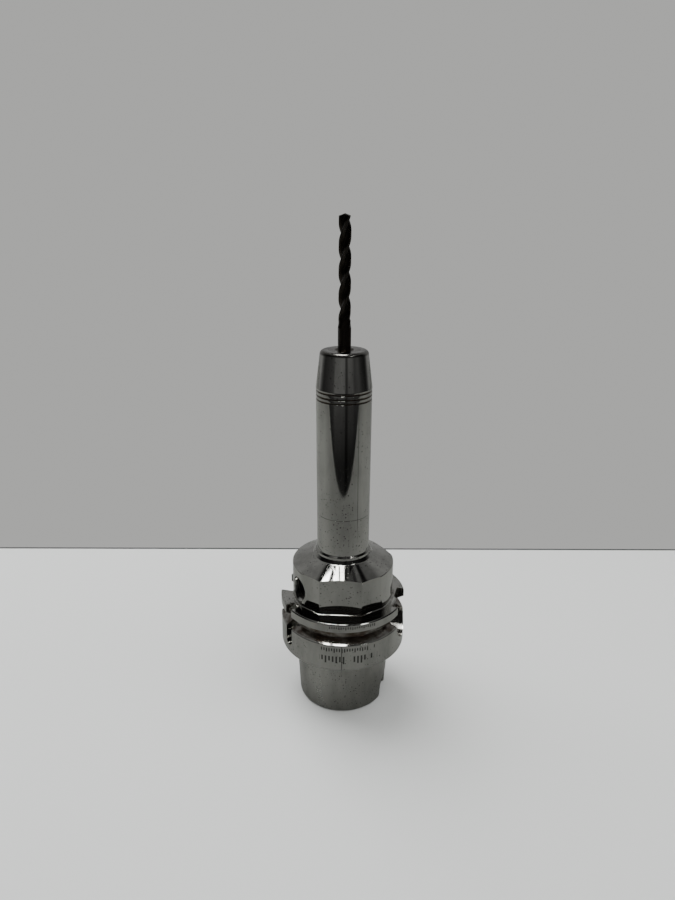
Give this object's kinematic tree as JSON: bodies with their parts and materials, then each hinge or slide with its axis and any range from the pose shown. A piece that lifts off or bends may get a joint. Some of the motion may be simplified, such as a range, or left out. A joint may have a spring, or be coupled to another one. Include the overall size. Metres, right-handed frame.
{
  "type": "hydraulic expansion drill chuck",
  "caption": "Hydraulic expansion drill chuck with an HSK-A63 hollow taper shank and a long slim neck, holding a small solid carbide drill.",
  "frame": {"origin": "on the chuck's axis in the plane of the shank end, on which it stands", "axes": "+Z along the axis from the shank to the drill's point; +X towards the wider driving slot in the flange"},
  "size_m": [0.063, 0.063, 0.2397],
  "materials": {
    "polished_tool_steel": "ground and polished case-hardened steel",
    "ground_steel": "fine cylindrical ground steel",
    "black_steel": "black oxide screw steel",
    "bright_steel": "bright hardened steel",
    "coated_carbide": "dark coated ground carbide",
    "seal_rubber": "moulded nitrile rubber",
    "ptfe": "turned PTFE",
    "chip_plastic": "moulded plastic"
  },
  "bodies": {
    "holder": {"holder_base": "polished_tool_steel", "neck_tube": "polished_tool_steel", "expansion_sleeve": "ground_steel", "bleed_screw": "black_steel", "bleed_ball": "bright_steel", "gallery_plug_shell": "bright_steel", "gallery_plug_ball": "bright_steel", "coolant_tube_nut": "ground_steel", "data_chip": "chip_plastic"},
    "pressure_piston": {"clamping_piston": "bright_steel", "piston_backup_ring": "ptfe", "piston_seal": "seal_rubber", "thrust_ball": "bright_steel"},
    "actuating_screw": {"clamping_screw": "black_steel"},
    "tube_seals": {"coolant_seal_front": "seal_rubber", "coolant_seal_rear": "seal_rubber"},
    "coolant_pipe": {"coolant_tube": "ground_steel"},
    "length_stop_ring": {"stop_screw_seal": "seal_rubber"},
    "length_stop": {"stop_screw": "black_steel"},
    "tool": {"drill_bit": "coated_carbide"}
  },
  "joints": [
    {"name": "piston_slide", "type": "slide", "parent": "holder", "child": "pressure_piston", "axis": [-0.7133, -0.7009, 0], "range_m": [0, 0.003]},
    {"name": "clamping_screw_turn", "type": "hinge", "parent": "pressure_piston", "child": "actuating_screw", "pos_m": [-0.0139, -0.0137, 0.066], "axis": [-0.7133, -0.7009, 0], "range_deg": [0, 1080]},
    {"name": "stop_travel", "type": "slide", "parent": "holder", "child": "length_stop_ring", "axis": [0, 0, 1], "range_m": [-0.01, 0]},
    {"name": "stop_screw_turn", "type": "hinge", "parent": "length_stop_ring", "child": "length_stop", "pos_m": [0, 0, 0.1474], "axis": [0, 0, 1], "range_deg": [-3600, 0]},
    {"name": "coolant_tilt_x", "type": "hinge", "parent": "holder", "child": "tube_seals", "pos_m": [0, 0, 0.0361], "axis": [1, 0, 0], "range_deg": [-1, 1]},
    {"name": "coolant_tilt_y", "type": "hinge", "parent": "tube_seals", "child": "coolant_pipe", "pos_m": [0, 0, 0.0361], "axis": [0, 1, 0], "range_deg": [-1, 1]},
    {"name": "drill_slide", "type": "slide", "parent": "holder", "child": "tool", "axis": [0, 0, 1], "range_m": [0, 0.03]}
  ],
  "couplings": [
    {"joint": "clamping_screw_turn", "follows": "piston_slide", "rad_per_m": 6283.2},
    {"joint": "stop_screw_turn", "follows": "stop_travel", "rad_per_m": 6283.2}
  ]
}
